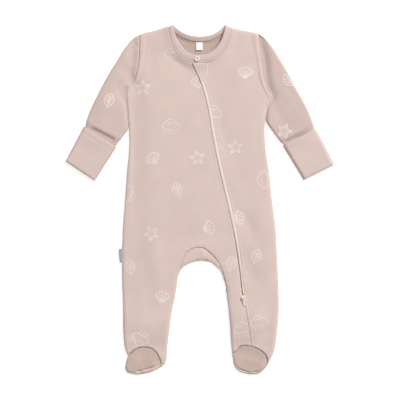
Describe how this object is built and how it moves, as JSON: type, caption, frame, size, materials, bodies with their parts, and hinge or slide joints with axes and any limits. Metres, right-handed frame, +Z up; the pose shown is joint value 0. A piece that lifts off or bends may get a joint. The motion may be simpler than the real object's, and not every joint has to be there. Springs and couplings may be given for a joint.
{
  "type": "footed baby sleepsuit",
  "caption": "Footed baby sleepsuit laid flat, long sleeves with fold-over mitts, rib neckband with a snap, and a zip that runs slantwise from neck to ankle.",
  "frame": {"origin": "middle of the bounding box in plan, at the underside that rests on the table", "axes": "+X to the wearer's left across the garment, +Y from the toes to the neck, +Z up from the table"},
  "size_m": [0.4424, 0.5776, 0.0126],
  "materials": {
    "cloth": "matt knitted jersey with a light nap",
    "rib": "matt fine rib",
    "zip_tape": "woven tape",
    "neck_label": "satin label",
    "side_label": "woven tape label",
    "snap": "enamel",
    "zip_metal": "enamel"
  },
  "bodies": {
    "garment": {"front_right": "cloth", "front_left": "cloth", "back": "cloth", "crotch_gusset": "cloth", "sleeve_right": "cloth", "sleeve_left": "cloth", "cuff_right": "cloth", "cuff_left": "cloth", "mitt_flap_right": "cloth", "mitt_flap_left": "cloth", "vamp_right": "cloth", "vamp_left": "cloth", "sole_right": "cloth", "sole_left": "cloth", "chin_guard": "cloth", "neckband": "rib", "zip_tape": "zip_tape", "neck_label": "neck_label", "side_label": "side_label", "snap": "snap", "zip_slider": "zip_metal"},
    "pull_tab": {"zip_pull": "zip_metal"}
  },
  "joints": [
    {"name": "pull_tab_lift", "type": "hinge", "parent": "garment", "child": "pull_tab", "pos_m": [0.0718, -0.16157, 0.01127], "axis": [-0.9824, -0.1868, 0], "range_deg": [0, 150]}
  ]
}
